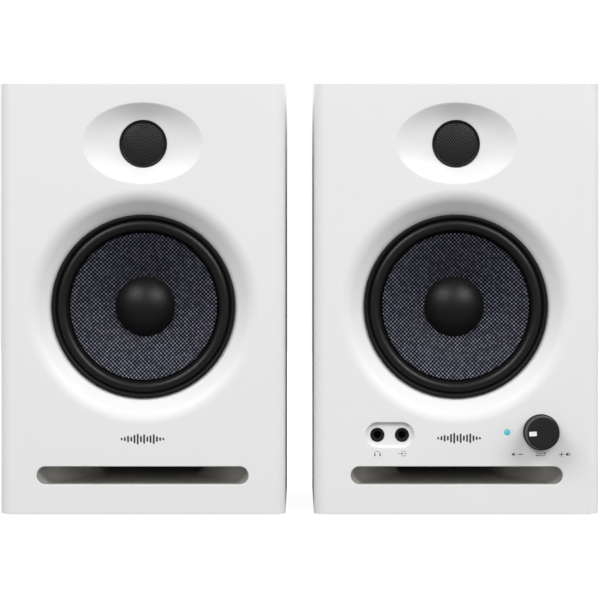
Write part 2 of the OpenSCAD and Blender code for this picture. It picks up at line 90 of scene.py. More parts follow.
KNOB_X, _, KNOB_Z = centre_in("right", "volume_knob")
KNOB_REACH, BUSH_HOLE_R = 13.5, 3.7
JACK_X, _, JACK_Z = centre_in("right", "front_jacks")
JACK_PITCH, JACK_HOLE_R, COLLAR_R, BORE_R = 12.6, 3.65, 3.55, 1.8
RECESS_W, RECESS_H, RECESS_D, RECESS_SHRINK = 25.6, 13.5, 2.0, 2.9
LED_X, LED_Z, LED_HOLE_R = 25.8, 41.7, 1.6
LED_FOOT_Z = 34.2                                # top of the board that the light stands on
CONTROL_MARKS_Z, SOCKET_MARKS_Z = 30.5, 30.9
CLIP_Z = centre_in("right", "speaker_out_terminal").z
CLIP_PITCH, PIN_D, PIN_RISE, PIN_R, PIN_END = 18.0, 4, 6, 1.18, 6.48
LEVER_OUTLINE = [(-3.2, 3.2), (2.6, 3.2), (6.6, -0.6), (7.4, -2.2), (7.2, -4.4), (5.6, -5.2), (2.2, -4.2),
                 (-1, -2.4), (-4, -1)]           # depth and height from the pin
ROCKER_TILT, ROCKER_FACE, ROCKER_RISE = math.radians(10.0), 3.3, 0.075
PANEL_SCREWS_X, PANEL_SCREWS_Z = (-52, 52), (-68, -23, 23, 68)
PLATE_SCREWS_X, PLATE_SCREWS_Z = (-29, 29), (-22, 22)
PHONO_OFFSET, PIN_OFFSET = 7, 4.3                # from the middle of the phono pair and of the mains inlet
GLOSS_DRIFT = 0.08


# ---- materials ----

def node(tree, kind, inputs=None, **settings):
    made = tree.nodes.new(kind)
    for key, value in settings.items():
        setattr(made, key, value)
    for key, value in (inputs or {}).items():
        if isinstance(value, bpy.types.NodeSocket):
            tree.links.new(value, made.inputs[key])
        else:
            made.inputs[key].default_value = value
    return made


def new_material(name, roughness, metallic=0.0):
    made = bpy.data.materials.new(name)
    made.use_nodes = True
    shader = made.node_tree.nodes["Principled BSDF"]
    shader.inputs["Roughness"].default_value = roughness
    shader.inputs["Metallic"].default_value = metallic
    return made, made.node_tree, shader


def rgb(colour, k=1.0):
    return (min(colour[0] * k, 1), min(colour[1] * k, 1), min(colour[2] * k, 1), 1)


def finish_material(name, colour, roughness, metallic=0.0, grain=600.0, vary=0.06, bump=0.15, bump_mm=0.02,
                    stretch=(1, 1, 1), coat=0.0, specular=0.5):
    """A surface with a fine grain in its height and its gloss, and a slow drift of its colour."""
    made, tree, shader = new_material(name, roughness, metallic)
    where = node(tree, "ShaderNodeTexCoord").outputs["Object"]
    where = node(tree, "ShaderNodeMapping", {"Vector": where, "Scale": stretch}).outputs[0]
    fine = node(tree, "ShaderNodeTexNoise", {"Vector": where, "Scale": grain, "Detail": 3.0}).outputs[0]
    slow = node(tree, "ShaderNodeTexNoise", {"Vector": where, "Scale": 14.0, "Detail": 2.0}).outputs[0]
    both = node(tree, "ShaderNodeMath", {0: fine, 1: slow}, operation="ADD").outputs[0]
    paint = node(tree, "ShaderNodeMapRange", {0: both, 1: 0.6, 2: 1.4, 3: 0.0, 4: 1.0}).outputs[0]
    mix = node(tree, "ShaderNodeMix", {0: paint, 6: rgb(colour, 1 - vary), 7: rgb(colour, 1 + vary)},
               data_type="RGBA")
    tree.links.new(mix.outputs[2], shader.inputs["Base Color"])
    gloss = node(tree, "ShaderNodeMapRange", {0: fine, 1: 0.3, 2: 0.7, 3: max(roughness - GLOSS_DRIFT, 0.03),
                                              4: min(roughness + GLOSS_DRIFT, 1)}).outputs[0]
    tree.links.new(gloss, shader.inputs["Roughness"])
    relief = node(tree, "ShaderNodeBump",
                  {"Height": fine, "Strength": bump, "Distance": bump_mm * MM}).outputs[0]
    tree.links.new(relief, shader.inputs["Normal"])
    shader.inputs["Coat Weight"].default_value = coat
    shader.inputs["Coat Roughness"].default_value = 0.25
    shader.inputs["Specular IOR Level"].default_value = specular
    return made


def woven_material(side):
    """Dark cloth with a lattice of pale threads at 45 degrees, each cell a little different; the brighter
    thread crowns are a painted highlight.
    """
    made, tree, shader = new_material(f"woven_cone_{side}", 0.6)
    where = node(tree, "ShaderNodeTexCoord").outputs["Object"]
    split = node(tree, "ShaderNodeSeparateXYZ", {0: where})

    def calc(operation, a, b=0.0):
        return node(tree, "ShaderNodeMath", {0: a, 1: b}, operation=operation).outputs[0]

    period = 2.05 * MM
    across = calc("DIVIDE", split.outputs[0], period)
    up = calc("DIVIDE", split.outputs[2], period)
    u, v = calc("ADD", across, up), calc("SUBTRACT", across, up)
    thread_u = calc("ABSOLUTE", calc("SINE", calc("MULTIPLY", u, math.pi)))
    thread_v = calc("ABSOLUTE", calc("SINE", calc("MULTIPLY", v, math.pi)))
    crown = calc("MULTIPLY", thread_u, thread_v)
    lines = calc("POWER", calc("MAXIMUM", thread_u, thread_v), 9.0)
    cell = node(tree, "ShaderNodeCombineXYZ", {0: calc("FLOOR", u), 1: calc("FLOOR", v)}).outputs[0]
    each = node(tree, "ShaderNodeTexWhiteNoise", {"Vector": cell}).outputs[0]
    # the pale lines are the threads' own colour; the crown term adds a painted highlight on each thread crown
    light = calc("ADD", calc("MULTIPLY", lines, 0.62), calc("MULTIPLY", calc("POWER", crown, 3.0), 0.38))
    light = calc("MULTIPLY", light, calc("ADD", calc("MULTIPLY", each, 0.25), 0.8))
    ramp = node(tree, "ShaderNodeValToRGB", {0: light})
    points = ramp.color_ramp.elements
    points[0].position, points[0].color = 0.05, (0.001, 0.001, 0.006, 1)
    points[1].position, points[1].color = 0.95, (0.34, 0.35, 0.42, 1)
    middle = points.new(0.5)
    middle.color = (0.022, 0.023, 0.036, 1)
    tree.links.new(ramp.outputs[0], shader.inputs["Base Color"])
    crown = calc("ADD", lines, crown)
    relief = node(tree, "ShaderNodeBump",
                  {"Height": crown, "Strength": 0.5, "Distance": 0.15 * MM}).outputs[0]
    tree.links.new(relief, shader.inputs["Normal"])
    shader.inputs["Specular IOR Level"].default_value = 0.15
    return made


def glow_material(name, colour, strength):
    made, tree, shader = new_material(name, 0.2)
    where = node(tree, "ShaderNodeTexCoord").outputs["Object"]
    fine = node(tree, "ShaderNodeTexNoise", {"Vector": where, "Scale": 900.0}).outputs[0]
    mix = node(tree, "ShaderNodeMix", {0: fine, 6: rgb(colour, 0.9), 7: rgb(colour, 1.1)},
               data_type="RGBA").outputs[2]
    tree.links.new(mix, shader.inputs["Base Color"])
    tree.links.new(mix, shader.inputs["Emission Color"])
    shader.inputs["Emission Strength"].default_value = strength
    return made


def duct_painted_light_material():
    """The duct's grey lining, darker at the mouth than in its throat: painted shade near the mouth and
    painted light deeper in.
    """
    made, tree, shader = new_material("port_inside_painted_light", 0.6)
    where = node(tree, "ShaderNodeTexCoord").outputs["Object"]
    fine = node(tree, "ShaderNodeTexNoise", {"Vector": where, "Scale": 900.0}).outputs[0]
    front = ORIGIN["right"].y
    deep = node(tree, "ShaderNodeSeparateXYZ", {0: where}).outputs[1]
    # painted light: the base colour brightens with depth into the duct, in place of light reaching the deep
    # walls
    deep = node(tree, "ShaderNodeMapRange", {0: deep, 1: front, 2: front + 0.02, 3: 0.1, 4: 0.95}).outputs[0]
    fine = node(tree, "ShaderNodeMath", {0: fine, 1: 0.06}, operation="MULTIPLY").outputs[0]
    deep = node(tree, "ShaderNodeMath", {0: deep, 1: fine}, operation="ADD").outputs[0]
    mix = node(tree, "ShaderNodeMix", {0: deep, 6: (0.2, 0.195, 0.18, 1), 7: (0.82, 0.80, 0.76, 1)},
               data_type="RGBA")
    tree.links.new(mix.outputs[2], shader.inputs["Base Color"])
    shader.inputs["Specular IOR Level"].default_value = 0.2
    return made


WHITE = (0.80, 0.80, 0.80)
MATERIALS = {
    "white_board": finish_material("white_wrap", WHITE, 0.5, grain=900, vary=0.012, bump=0.25, bump_mm=0.02),
    "white_moulding": finish_material("white_moulding", WHITE, 0.42, grain=1500, vary=0.01, bump=0.15,
                                      bump_mm=0.012),
    "black_rubber": finish_material("black_rubber", (0.006, 0.006, 0.006), 0.39, grain=1200, vary=0.15,
                                    bump=0.2, specular=0.4),
    "black_mesh": finish_material("black_mesh", (0.036, 0.036, 0.036), 0.5, grain=1800, vary=0.15,
                                  specular=0.4),
    "black_plastic": finish_material("black_plastic", (0.007, 0.007, 0.007), 0.5, grain=1500, vary=0.15,
                                     bump=0.25, specular=0.3),
    "knob_black": finish_material("knob_black", (0.011, 0.011, 0.011), 0.42, grain=2200, vary=0.15, bump=0.3,
                                  specular=0.4),
    "red_plastic": finish_material("red_plastic", (0.42, 0.015, 0.015), 0.35, grain=900, coat=0.3),
    "panel_black": finish_material("powder_coat", (0.02, 0.02, 0.021), 0.55, grain=1400, bump=0.7,
                                   bump_mm=0.05),
    "dark_silk": finish_material("dark_silk", (0.006, 0.006, 0.007), 0.7, grain=3000, bump=0.4, specular=0.2),
    "spider_cloth": finish_material("spider_cloth", (0.5, 0.36, 0.12), 0.8, grain=2500, bump=0.6, vary=0.15),
    "coil_copper": finish_material("coil_copper", (0.6, 0.25, 0.12), 0.35, 1.0, stretch=(1, 30, 1)),
    "ferrite": finish_material("ferrite", (0.05, 0.05, 0.052), 0.7, grain=1600, bump=0.5, vary=0.2),
    "motor_steel": finish_material("motor_steel", (0.42, 0.42, 0.43), 0.38, 1.0, grain=1200),
    "screw_steel": finish_material("screw_steel", (0.3, 0.3, 0.31), 0.35, 1.0, grain=1800),
    "basket_alloy": finish_material("basket_alloy", (0.3, 0.3, 0.31), 0.5, 1.0, grain=900, bump=0.5),
    "contact_gold": finish_material("contact_gold", (0.78, 0.53, 0.18), 0.22, 1.0, grain=1600),
    "circuit_board": finish_material("circuit_board", (0.03, 0.14, 0.05), 0.4, grain=500, vary=0.2, coat=0.4),
    "status_glow": glow_material("status_glow", (0.07, 0.36, 0.44), 0.6),
}
MARK_WHITE = finish_material("mark_white", (0.85, 0.85, 0.85), 0.5, grain=1200, vary=0.02)
PRINT_DARK = finish_material("print_dark", (0.025, 0.025, 0.028), 0.6, grain=1500, vary=0.1)
PRINT_GREY = finish_material("print_grey", (0.12, 0.12, 0.12), 0.6, grain=1500, vary=0.1)
PRINT_WHITE = finish_material("print_white", (0.6, 0.6, 0.6), 0.6, grain=1500, vary=0.05)
PORT_PAINTED_LIGHT = duct_painted_light_material()
RING_BLACK = finish_material("ring_black", (0.004, 0.004, 0.004), 0.5, grain=1500, vary=0.15, bump=0.2,
                             specular=0.3)
CAP_BLACK = finish_material("cap_black", (0.0035, 0.0035, 0.0035), 0.47, grain=1500, vary=0.15, bump=0.15,
                            specular=0.42)
PLUG_WHITE = finish_material("plug_white", (0.7, 0.7, 0.68), 0.35, grain=900, vary=0.03)


# ---- mesh building, in millimetres in a speaker's own frame: x across, depth behind its face, z up ----

def place(name, build, side, body, material, smooth=30, replaces=()):
    """Makes the piece, with edges sharper than smooth degrees left sharp."""
    mesh = bpy.data.meshes.new(name)
    mesh.from_pydata([ORIGIN[side] + Vector(v) * MM for v in build.verts], [], build.faces)
    mesh.validate()
    work = bmesh.new()
    work.from_mesh(mesh)
    bmesh.ops.remove_doubles(work, verts=work.verts, dist=1e-7)
    bmesh.ops.recalc_face_normals(work, faces=work.faces)
    work.to_mesh(mesh)
    work.free()
    mesh.shade_smooth()
    mesh.set_sharp_from_angle(angle=math.radians(smooth))
    made = bpy.data.objects.new(name, mesh)
    bpy.context.scene.collection.objects.link(made)
    made.data.materials.append(material)
    if body:
        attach(made, body)
    if replaces:
        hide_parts(*replaces)
    return made


class Build:
    """Collects the verts and faces of one piece."""

    def __init__(self):
        self.verts, self.faces = [], []

    def ring(self, points):
        start = len(self.verts)
        self.verts += [tuple(p) for p in points]
        return list(range(start, len(self.verts)))

    def bridge(self, a, b):
        """Faces between two rings, one of which may be a single point."""
        if len(a) == 1 or len(b) == 1:
            pole, rim = (a[0], b) if len(a) == 1 else (b[0], a)
            self.faces += [(pole, rim[i], rim[(i + 1) % len(rim)]) for i in range(len(rim))]
        else:
            self.faces += [(a[i], a[(i + 1) % len(a)], b[(i + 1) % len(a)], b[i]) for i in range(len(a))]

    def loft(self, rings):
        made = [self.ring(r) for r in rings]
        for a, b in zip(made, made[1:]):
            self.bridge(a, b)
        return made

    def fill(self, *loops):
        """Flat faces between an outline and the holes in it."""
        work = bmesh.new()
        edges = []
        for loop in loops:
            made = [work.verts.new(self.verts[i]) for i in loop]
            edges += [work.edges.new((made[i], made[(i + 1) % len(made)])) for i in range(len(made))]
        work.verts.index_update()
        back = [i for loop in loops for i in loop]
        bmesh.ops.triangle_fill(work, use_beauty=True, edges=edges)
        work.faces.ensure_lookup_table()
        self.faces += [tuple(back[v.index] for v in f.verts) for f in work.faces]
        work.free()

    def revolve(self, profile, x=0.0, z=0.0, steps=96, closed=False):
        """Turns [radius, depth] points about a front-to-back axis. A radius of 0 becomes a pole."""
        made = self.loft([at_depth(circle(r, x, z, steps), d) if r else [(x, d, z)] for r, d in profile])
        if closed:
            self.bridge(made[-1], made[0])

    def prism(self, outline, front, back):
        """A flat shape of (x, z) points with a thickness."""
        a = self.ring([(x, front, z) for x, z in outline])
        b = self.ring([(x, back, z) for x, z in outline])
        self.bridge(a, b)
        self.fill(a)
        self.fill(b)


def arc(cx, cz, r, start, end, steps):
    return [(cx + r * math.cos(math.radians(start + (end - start) * i / steps)),
             cz + r * math.sin(math.radians(start + (end - start) * i / steps))) for i in range(steps + 1)]


def stadium(w, h, cx=0.0, cz=0.0, steps=20, straight=16):
    half, r = (w - h) / 2, h / 2
    out = arc(cx + half, cz, r, -90, 90, steps)
    out += [(cx + half - 2 * half * i / straight, cz + r) for i in range(1, straight)]
    out += arc(cx - half, cz, r, 90, 270, steps)
    out += [(cx - half + 2 * half * i / straight, cz - r) for i in range(1, straight)]
    return out


def circle(r, cx=0.0, cz=0.0, steps=96):
    return [(cx + r * math.cos(TAU * i / steps), cz + r * math.sin(TAU * i / steps)) for i in range(steps)]


def at_depth(outline, depth):
    return [(x, depth, z) for x, z in outline]


# ---- front baffles ----

def slot_half(depth):
    """Half the duct's width, which narrows evenly as far as FLARE_D."""
    return SLOT_W / 2 - (SLOT_W - SLOT_THROAT_W) / 2 * min(depth / FLARE_D, 1)


def baffle(side):
    # outline: wide upright edges, and a small rounding along the top and the bottom
    b, rings = Build(), []
    depths = [CORNER_R * (1 - math.cos(math.pi / 2 * i / 14)) for i in range(15)] + [BAFFLE_D]
    for d in depths:
        turn = math.sqrt(max(CORNER_R ** 2 - (CORNER_R - min(d, CORNER_R)) ** 2, 0))
        lift = math.sqrt(max(TOP_R ** 2 - (TOP_R - min(d, TOP_R)) ** 2, 0))
        w, h = WIDTH / 2 - CORNER_R + turn, HEIGHT / 2 - TOP_R + lift
        zs = [HEIGHT / 2 + h * (2 * i / 12 - 1) for i in range(13)]
        xs = [w * (2 * i / 8 - 1) for i in range(9)]
        rings.append([(w, d, z) for z in zs] + [(x, d, zs[-1]) for x in reversed(xs[1:-1])]
                     + [(-w, d, z) for z in reversed(zs)] + [(x, d, zs[0]) for x in xs[1:-1]])
    outer = b.loft(rings)

    # dish around the woofer
    bend = (DISH_R - DISH_BLEND_R) / math.sin(DISH_SLOPE)
    profile = [(DISH_R - bend * math.sin(DISH_SLOPE * i / 16), bend * (1 - math.cos(DISH_SLOPE * i / 16)))
               for i in range(17)]
    low = profile[-1][1] + (DISH_BLEND_R - RING_R) * math.tan(DISH_SLOPE)
    profile += [(RING_R + (DISH_BLEND_R - RING_R) * (1 - k / 4),
                 profile[16][1] + (low - profile[16][1]) * k / 4) for k in (1, 2, 3)]
    profile += [(RING_R + 0.15, low - 0.12), (RING_R, low + 0.15), (RING_R, LEDGE_D),
                (WOOFER_HOLE_R, LEDGE_D), (WOOFER_HOLE_R, BAFFLE_D)]
    dish = b.loft([at_depth(circle(r, 0, WOOFER_Z, 160), d) for r, d in profile])

    # elliptical waveguide that becomes round at the throat, steeper at its rim
    rings, steps = [], 128
    for k in range(21):
        t = k / 20
        d = GUIDE_D * (0.55 * t + 0.45 * math.sin(math.pi / 2 * t))
        ring = []
        for i in range(steps):
            c, s = math.cos(TAU * i / steps), math.sin(TAU * i / steps)
            ring.append((c * (GUIDE_A * (1 - t) + THROAT_R * t), d,
                         TWEETER_Z + s * (GUIDE_B * (1 - t) + THROAT_R * t)))
        rings.append(ring)
    rim = [(x * (1 + 0.25 / GUIDE_A), 0.0, TWEETER_Z + (z - TWEETER_Z) * (1 + 0.25 / GUIDE_B))
           for x, _, z in rings[0]]
    rings[0] = [(x, 0.12, z) for x, _, z in rings[0]]
    rings.append(at_depth(circle(THROAT_R, 0, TWEETER_Z, steps), BAFFLE_D))
    guide = b.loft([rim] + rings)

    # mouth of the slot, with a rounded lip
    lip, step = 0.45, 0.7
    rings = [at_depth(stadium(SLOT_W + 2 * lip * (1 - math.sin(a)), SLOT_H + 2 * lip * (1 - math.sin(a)),
                              0, SLOT_Z), lip * (1 - math.cos(a)))
             for a in [math.pi / 2 * i / 6 for i in range(7)]]
    rings += [at_depth(stadium(SLOT_W + 2 * step, SLOT_H + 2 * step, 0, SLOT_Z), d)
              for d in (lip + 0.05, BAFFLE_D)]
    slot = b.loft(rings)

    front, back = [outer[0], dish[0], guide[0], slot[0]], [outer[-1], dish[-1], guide[-1], slot[-1]]
    if side == "right":
        # recess around the two sockets, and holes for the light and the knob's shaft
        rings = []
        for k in range(13):
            shrink, fall = RECESS_SHRINK * k / 12, (0.5 - 0.5 * math.cos(math.pi * k / 12)) ** 0.8
            rings.append(at_depth(stadium(RECESS_W - shrink, RECESS_H - shrink, JACK_X, JACK_Z),
                                  RECESS_D * fall))
        recess = b.loft(rings)
        holes = [b.loft([at_depth(circle(JACK_HOLE_R, JACK_X + k * JACK_PITCH / 2, JACK_Z, 48), d)
                         for d in (RECESS_D, BAFFLE_D)]) for k in (-1, 1)]
        b.fill(recess[-1], holes[0][0], holes[1][0])
        led = b.loft([at_depth(circle(r, LED_X, LED_Z, 32), d)
                      for r, d in ((LED_HOLE_R + 0.1, 0), (LED_HOLE_R, 0.1), (LED_HOLE_R, BAFFLE_D))])
        bush = b.loft([at_depth(circle(BUSH_HOLE_R, KNOB_X, KNOB_Z, 48), d) for d in (0, BAFFLE_D)])
        front += [recess[0], led[0], bush[0]]
        back += [holes[0][-1], holes[1][-1], led[-1], bush[-1]]
    b.fill(*front)
    b.fill(*back)
    made = place(f"{side}_baffle_face", b, side, f"{side}_speaker", MATERIALS["white_moulding"],
                 smooth=35, replaces=[f"{side}_front_baffle"])
    made.modifiers.new("even_normals", "WEIGHTED_NORMAL").keep_sharp = True


def port(side):
    """The flared duct behind the slot: it starts behind the lip and its shell thickens inside the cabinet."""
    thin, thick = 1.3, 3.8  # both walls together
    b = Build()
    depths = [0.55] + [BAFFLE_D * i / 4 for i in (1, 2, 3, 4)]
    depths += [BAFFLE_D + (FLARE_D - BAFFLE_D) * i / 8 for i in range(1, 9)] + [85, 100, 115, DUCT_END]
    inner = [at_depth(stadium(2 * slot_half(d), SLOT_H, 0, SLOT_Z), d) for d in depths]
    outer = []
    for d in reversed(depths):
        shell = thin if d <= BAFFLE_D else thick
        outer.append(at_depth(stadium(2 * slot_half(d) + shell, SLOT_H + shell, 0, SLOT_Z), d))
    made = b.loft(inner + outer)
    b.bridge(made[-1], made[0])
    place(f"{side}_port_flare", b, side, f"{side}_speaker", PORT_PAINTED_LIGHT,
          replaces=[f"{side}_port_duct"])


# ---- tweeter ----

def dome_depth(r):
    """Depth of the grille's sheet, part of a ball, at r from its middle."""
    rise, rim = 2.2, 11.2
    ball = (rim * rim + rise * rise) / (2 * rise)
    return GUIDE_D - rise + ball - math.sqrt(max(ball * ball - r * r, 0))


def grille(side):
    """A domed sheet with round holes in staggered rows, inside a plain rim."""
    across, up, hole, rim, thick, steps = 1.43, 1.86, 0.46, 11.35, 0.3, 12
    corners = [(across / 2, 0), (0, up / 2), (-across / 2, 0), (0, -up / 2)]
    b, sides = Build(), {}
    rows, cols = 13, 9  # each way from the middle
    for row in range(-rows, rows + 1):
        for col in range(-cols, cols + 1):
            cx, cz = (col + (row % 2) / 2) * across, row * up / 2
            if math.hypot(cx, cz) > rim - 0.3:
                continue
            cell, holes = [], []
            for i in range(steps):
                (ax, az), (bx, bz), t = corners[i // 3], corners[(i // 3 + 1) % 4], (i % 3) / 3
                cell.append((cx + ax + (bx - ax) * t, cz + az + (bz - az) * t))
                holes.append((cx + hole * math.cos(TAU * i / steps), cz + hole * math.sin(TAU * i / steps)))
            rings = [[(x, dome_depth(math.hypot(x, z)) + deep, TWEETER_Z + z) for x, z in loop]
                     for loop, deep in ((cell, 0), (holes, 0), (holes, thick), (cell, thick))]
            made = b.loft(rings)
            for i in range(steps):
                j = (i + 1) % steps
                ends = frozenset((round(cell[k][0], 4), round(cell[k][1], 4)) for k in (i, j))
                sides.setdefault(ends, []).append((made[0][j], made[0][i], made[3][i], made[3][j]))
    # the sheet's own edge: the sides of cells that have no neighbour there
    b.faces += [quads[0] for quads in sides.values() if len(quads) == 1]
    place(f"{side}_grille_sheet", b, side, f"{side}_speaker", MATERIALS["black_mesh"],
          smooth=50)
    b = Build()
    b.revolve([(10.9, dome_depth(10.9) - 0.05), (11.2, GUIDE_D - 0.3), (11.5, GUIDE_D - 0.55),
               (11.9, GUIDE_D - 0.55), (12.15, GUIDE_D - 0.3), (12.2, GUIDE_D + 1.2), (10.9, GUIDE_D + 1.2)],
              0, TWEETER_Z, 96, closed=True)
    place(f"{side}_grille_rim", b, side, f"{side}_speaker", RING_BLACK, smooth=40,
          replaces=[f"{side}_tweeter_grille"])


# ---- woofer ----

def cone_depth(r):
    return CONE_EDGE_D + (CONE_R - r) * CONE_SLOPE


def woofer(side):
    still, moving = f"{side}_speaker", f"{side}_woofer_moving"
    b = Build()
    b.revolve([(44.3, 8.6), (44.3, 7.7), (44.6, 7.2), (45.1, 6.5), (45.4, 6.1), (45.6, 5.95), (45.9, 5.88),
               (46.8, 5.9), (47.05, 6.0), (47.22, 6.25), (47.24, 8.6)], 0, WOOFER_Z, 192, closed=True)
    place(f"{side}_trim_ring", b, side, still, RING_BLACK, smooth=40,
          replaces=[f"{side}_woofer_trim_ring"])

    b = Build()
    neck, thick = 12.6, 0.7
    b.revolve([(CONE_R, CONE_EDGE_D), (37.4, 9.15)]
              + [(r, cone_depth(r)) for r in [37.0 - i * 0.7 for i in range(35)]]
              + [(neck, cone_depth(neck)), (neck, cone_depth(neck) + thick), (CONE_R, CONE_EDGE_D + thick)],
              0, WOOFER_Z, 192, closed=True)
    place(f"{side}_cone_skin", b, side, moving, WOVEN[side], smooth=40,
          replaces=[f"{side}_woofer_cone"])

    b = Build()
    rise, rim = 8.0, 15.5
    ball = (rim * rim + rise * rise) / (2 * rise)
    front = cone_depth(15.7) - rise
    dome = [(r, front + ball - math.sqrt(ball * ball - r * r))
            for r in [rim * math.sin(math.pi / 2 * i / 24) for i in range(25)]]
    foot = dome[-1][1]
    inside = [(r, d + 0.5) for r, d in reversed(dome[:-1])]
    b.revolve(dome + [(15.72, foot + 0.02), (15.3, foot + 0.3)] + inside, 0, WOOFER_Z, 128)
    place(f"{side}_cap_dome", b, side, moving, CAP_BLACK, smooth=40,
          replaces=[f"{side}_dust_cap"])

    # half roll of rubber, with an outer flange and an inner edge that meets the cone
    roll, half, thick, base = 41.85, 2.85, 0.7, 8.6
    top = [(roll + half * math.cos(math.radians(a)), base - half * math.sin(math.radians(a)))
           for a in range(0, 181, 6)]
    under = [(roll + (half - thick) * math.cos(math.radians(a)),
              base - (half - thick) * math.sin(math.radians(a))) for a in range(180, -1, -6)]
    profile = ([(46.8, base), (44.9, base)] + top + [(38.8, 9.4), (38.2, 10.0), (36.0, cone_depth(36) + 0.85),
               (36.0, cone_depth(36) + 1.4), (38.7, 10.7), (39.4, 9.9)] + under + [(43.8, 9.4), (46.8, 9.4)])
    b = Build()
    b.revolve(profile, 0, WOOFER_Z, 192, closed=True)
    made = place(f"{side}_surround_roll", b, side, None, MATERIALS["black_rubber"], smooth=50,
                 replaces=[f"{side}_woofer_surround"])
    centre = ORIGIN[side] + Vector((0, 0, WOOFER_Z)) * MM
    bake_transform(made)
    # weights that blend smoothly from the outer flange to the inner edge, outward from the middle all the way
    # around; nothing uses them
    weights, still_r, moving_r = [], 44.5, 38.8
    for v in made.data.vertices:
        r = math.hypot(v.co.x - centre.x, v.co.z - centre.z) / MM
        t = min(max((still_r - r) / (still_r - moving_r), 0), 1)
        weights.append(t * t * (3 - 2 * t))


# ---- front controls ----

def knob():
    b, face = Build(), -KNOB_REACH
    b.revolve([(0, face + 0.05), (5.5, face + 0.03), (7.5, face), (7.95, face + 0.08), (8.2, face + 0.35),
               (8.3, face + 0.8), (8.6, -4.7), (8.7, -4.3), (8.9, -4.15), (9.15, -3.9), (9.28, -3.4),
               (9.28, -1.5), (9.1, -1.2), (3.01, -1.2), (3.01, -10.4), (0, -10.4)], KNOB_X, KNOB_Z, 128)
    place("volume_dial_body", b, "right", "volume_dial", MATERIALS["knob_black"], smooth=32,
          replaces=["volume_knob"])
    # the pointer, a small oblong to the left of the knob's middle at rest
    b, tilt, out, r = Build(), math.radians(3), 5.3, 0.25
    w, h = 1.95 - r, 1.15 - r
    shape = []
    for quarter, (kx, kz) in enumerate(((1, 1), (-1, 1), (-1, -1), (1, -1))):
        shape += arc(kx * w, kz * h, r, 90 * quarter, 90 * quarter + 90, 4)
    shape = [(KNOB_X + (x - out) * math.cos(tilt) - z * math.sin(tilt),
              KNOB_Z + (x - out) * math.sin(tilt) + z * math.cos(tilt)) for x, z in shape]
    b.prism(shape, face + 0.005, face + 0.3)
    place("volume_dial_pointer", b, "right", "volume_dial", MARK_WHITE)


def jacks():
    b, metal = Build(), Build()
    for k in (-1, 1):
        x = JACK_X + k * JACK_PITCH / 2
        b.revolve([(0, 20.9), (3.4, 20.9), (COLLAR_R, 20.7), (COLLAR_R, 1.78), (3.48, 1.65), (3.35, 1.6),
                   (2.35, 1.62), (2.1, 1.72), (1.9, 2.0), (BORE_R, 2.4), (BORE_R, 15.9), (0, 15.9)],
                  x, JACK_Z, 64)
        b.revolve([(3.4, 7.4), (4.7, 7.6), (4.7, 20.6), (3.4, 20.8)], x, JACK_Z, 4, closed=True)
        metal.revolve([(1.79, 6.0), (1.79, 9.0), (1.62, 9.2), (1.62, 9.6), (1.79, 9.8), (1.85, 9.8),
                       (1.85, 6.0)], x, JACK_Z, 48, closed=True)
    place("socket_collars", b, "right", "right_speaker", MATERIALS["black_plastic"],
          smooth=40, replaces=["front_jacks"])
    place("socket_contacts", metal, "right", "right_speaker", MATERIALS["motor_steel"])


def light():
    b = Build()
    b.revolve([(0, -0.3), (0.5, -0.28), (0.95, -0.2), (1.3, -0.05), (1.5, 0.2), (1.5, 18), (0, 18)],
              LED_X, LED_Z, 48)
    left, right, top = LED_X - 2, LED_X + 2, LED_Z + 3
    b.prism([(left, LED_FOOT_Z), (right, LED_FOOT_Z), (right, top), (left, top)], 17, 20)
    place("status_lens", b, "right", "right_speaker", MATERIALS["status_glow"], smooth=40,
          replaces=["status_light"])


# ---- printed marks: every one is a generic sign ----

def stroke(points, width):
    """The outline of a line of constant width along points."""
    left, right = [], []
    for i, (x, z) in enumerate(points):
        ax, az = points[max(i - 1, 0)]
        bx, bz = points[min(i + 1, len(points) - 1)]
        length = math.hypot(bx - ax, bz - az)
        nx, nz = -(bz - az) / length * width / 2, (bx - ax) / length * width / 2
        left.append((x + nx, z + nz))
        right.append((x - nx, z - nz))
    return left + right[::-1]


def bar(x, z, w, h):
    r = min(w, h) / 2
    if w >= h:
        return arc(x + w / 2 - r, z, r, -90, 90, 8) + arc(x - w / 2 + r, z, r, 90, 270, 8)
    return arc(x, z + h / 2 - r, r, 0, 180, 8) + arc(x, z - h / 2 + r, r, 180, 360, 8)


def print_marks(name, side, shapes, material, depth=-0.03, thick=0.06):
    b = Build()
    for shape in shapes:
        b.prism(shape, depth, depth + thick)
    place(name, b, side, f"{side}_speaker", material)


def speaker_sign(x, z, waves):
    shapes = [[(x - 1.1, z - 0.4), (x - 0.6, z - 0.4), (x + 0.1, z - 1.0), (x + 0.1, z + 1.0),
               (x - 0.6, z + 0.4), (x - 1.1, z + 0.4)]]
    return shapes + [stroke(arc(x - 0.2, z, 0.75 + 0.55 * k, -42, 42, 8), 0.22) for k in range(waves)]


def level_bars(side, x, z):
    """A plain row of bars in the middle of the front."""
    heights = [1.3, 2.2, 3.4, 2.4, 4.4, 5.4, 3.2, 4.8, 2.7, 3.9, 5.0, 2.9, 1.9, 1.2]
    pitch, width = 1.64, 0.92
    shapes = [bar(x + (i - (len(heights) - 1) / 2) * pitch, z, width, h) for i, h in enumerate(heights)]
    print_marks(f"{side}_level_bars", side, shapes, PRINT_DARK)


